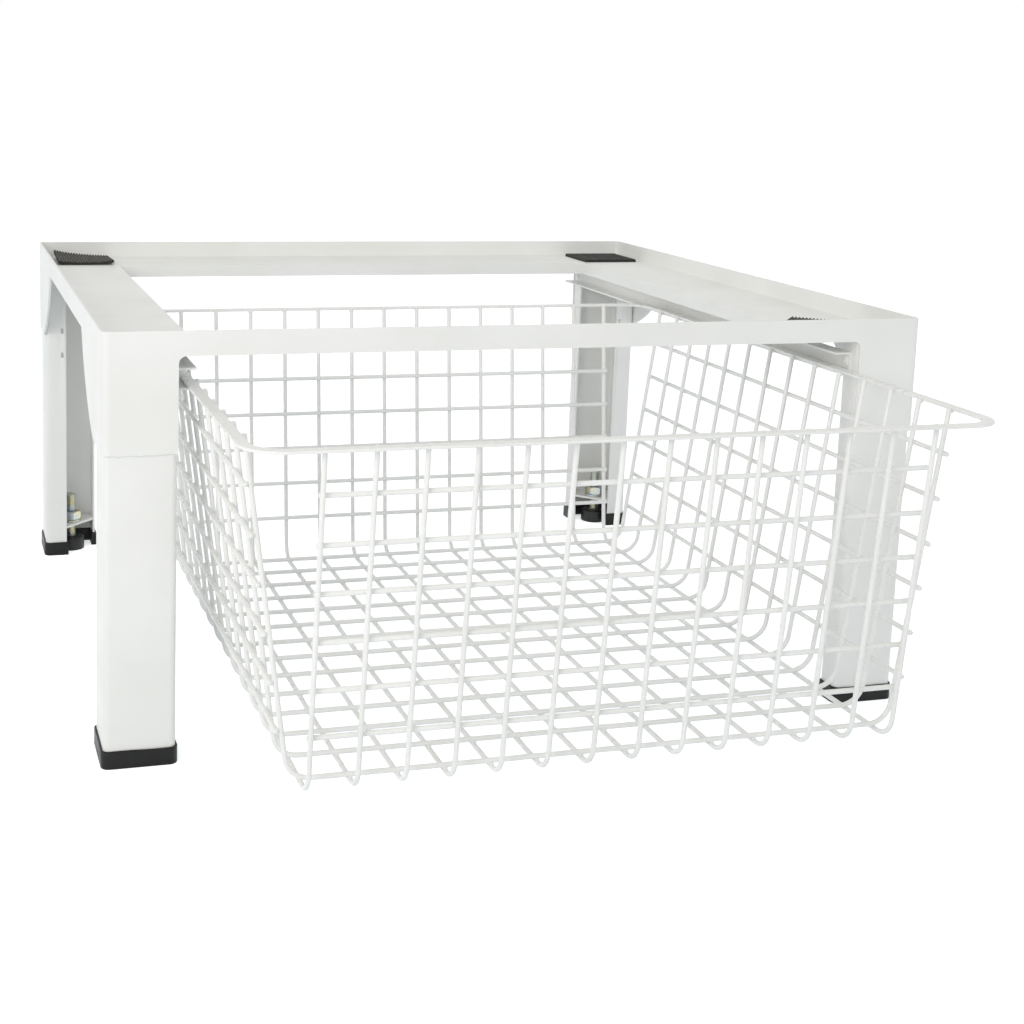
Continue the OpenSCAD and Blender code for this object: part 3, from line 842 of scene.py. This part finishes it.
def directRays(tree):
    # 1 where the camera looks straight at it, or sees it in or through something
    rays = addNode(tree, "ShaderNodeLightPath")
    glossy = addNode(tree, "ShaderNodeMath", {"operation": "MAXIMUM"},
                     {0: rays.outputs["Is Camera Ray"], 1: rays.outputs["Is Glossy Ray"]})
    both = addNode(tree, "ShaderNodeMath", {"operation": "MAXIMUM"},
                   {0: glossy.outputs[0], 1: rays.outputs["Is Transmission Ray"]})
    return both.outputs[0]


# Matt pale paper: it takes the object's faint shadow, and looks white where the camera sees it
floorMaterial, tree, place = startMaterial("studio_floor")
paper = addNode(tree, "ShaderNodeBsdfDiffuse", {"Color": linear(stageValues["floorColour"]),
                                                "Roughness": stageValues["floorRoughness"]})
lift = addNode(tree, "ShaderNodeEmission", {"Color": (1, 1, 1, 1), "Strength": stageValues["floorLift"]})
lifted = addNode(tree, "ShaderNodeAddShader", links={0: paper.outputs[0], 1: lift.outputs[0]})
floorMix = addNode(tree, "ShaderNodeMixShader",
                   links={0: directRays(tree), 1: paper.outputs[0], 2: lifted.outputs[0]})
endMaterial(tree, floorMix)

bm = bmesh.new()
bmesh.ops.create_grid(bm, x_segments=4, y_segments=4, size=stageValues["floorHalf"])
floorMesh = bpy.data.meshes.new("studio_floor")
bm.to_mesh(floorMesh)
bm.free()
floor = bpy.data.objects.new("studio_floor", floorMesh)
floorMesh.materials.append(floorMaterial)
bpy.context.scene.collection.objects.link(floor)

world = bpy.data.worlds.new("studio")
bpy.context.scene.world = world
world.use_nodes = True
tree = world.node_tree
tree.nodes.clear()
outward = addNode(tree, "ShaderNodeTexCoord").outputs["Object"]
height = addNode(tree, "ShaderNodeSeparateXYZ", links={0: outward}).outputs["Z"]
# Brighter at the horizon than overhead, like a light tent's walls
glow = spread(tree, height, 0.0, 1.0, stageValues["horizonLight"], stageValues["zenithLight"])
light = addNode(tree, "ShaderNodeBackground", {"Color": linear(stageValues["skyColour"])}, {"Strength": glow})
white = addNode(tree, "ShaderNodeBackground", {"Color": (1, 1, 1, 1), "Strength": 1.0})
sky = addNode(tree, "ShaderNodeMixShader", links={0: directRays(tree), 1: light.outputs[0], 2: white.outputs[0]})
addNode(tree, "ShaderNodeOutputWorld", links={"Surface": sky.outputs[0]})

# Two soft lamps at the left front and a weak warm one above
lampValues = [
    {"name": "key", "place": (-3.9, -4.7, 2.4), "size": 1.4, "power": 14, "colour": "#FFFAF3"},
    {"name": "near", "place": (-1.1, -1.25, 0.7), "size": 0.6, "power": 5.8, "colour": "#FFFAF4"},
    {"name": "top", "place": (0.2, 0.6, 2.2), "size": 1.2, "power": 1.8, "colour": "#FFF4E4"},
]
lampAim = Vector((0, 0.05, 0.12))
for lampValue in lampValues:
    lamp = bpy.data.lights.new(lampValue["name"], "AREA")
    lamp.shape = "SQUARE"
    lamp.size = lampValue["size"]
    lamp.energy = lampValue["power"]
    lamp.color = linear(lampValue["colour"])[:3]
    lampObject = bpy.data.objects.new(lampValue["name"], lamp)
    lampObject.location = lampValue["place"]
    lampObject.rotation_euler = (Vector(lampValue["place"]) - lampAim).to_track_quat("Z", "Y").to_euler()
    bpy.context.scene.collection.objects.link(lampObject)

# The place is in mm, the angles are in radians and the focal length and the middle are in pixels of the photo
cameraValues = {"place": (-409.81, -1219.47, 461.62), "yaw": 0.288446, "pitch": 0.154481, "roll": -0.028235,
                "focal": 1636.408, "middleX": 400, "middleY": 330, "frame": 1024, "sensor": 36, "clipEnd": 50}
values = cameraValues
yaw, pitch = values["yaw"], values["pitch"]
forward = Vector((sin(yaw) * cos(pitch), cos(yaw) * cos(pitch), -sin(pitch)))
flatRight = Vector((cos(yaw), -sin(yaw), 0))
flatDown = forward.cross(flatRight)
right = flatRight * cos(values["roll"]) + flatDown * sin(values["roll"])
down = flatDown * cos(values["roll"]) - flatRight * sin(values["roll"])
cameraData = bpy.data.cameras.new("camera")
cameraData.sensor_fit = "HORIZONTAL"
cameraData.sensor_width = values["sensor"]
cameraData.lens = values["focal"] * values["sensor"] / values["frame"]
cameraData.shift_x = (values["frame"] / 2 - values["middleX"]) / values["frame"]
cameraData.shift_y = (values["middleY"] - values["frame"] / 2) / values["frame"]
cameraData.clip_end = values["clipEnd"]
camera = bpy.data.objects.new("camera", cameraData)
axes = Matrix((right, -down, -forward)).transposed().to_4x4()
camera.matrix_world = Matrix.Translation(point(*values["place"])) @ axes
bpy.context.scene.collection.objects.link(camera)
bpy.context.scene.camera = camera
bpy.context.scene.view_settings.view_transform = "Standard"
print("stage made")
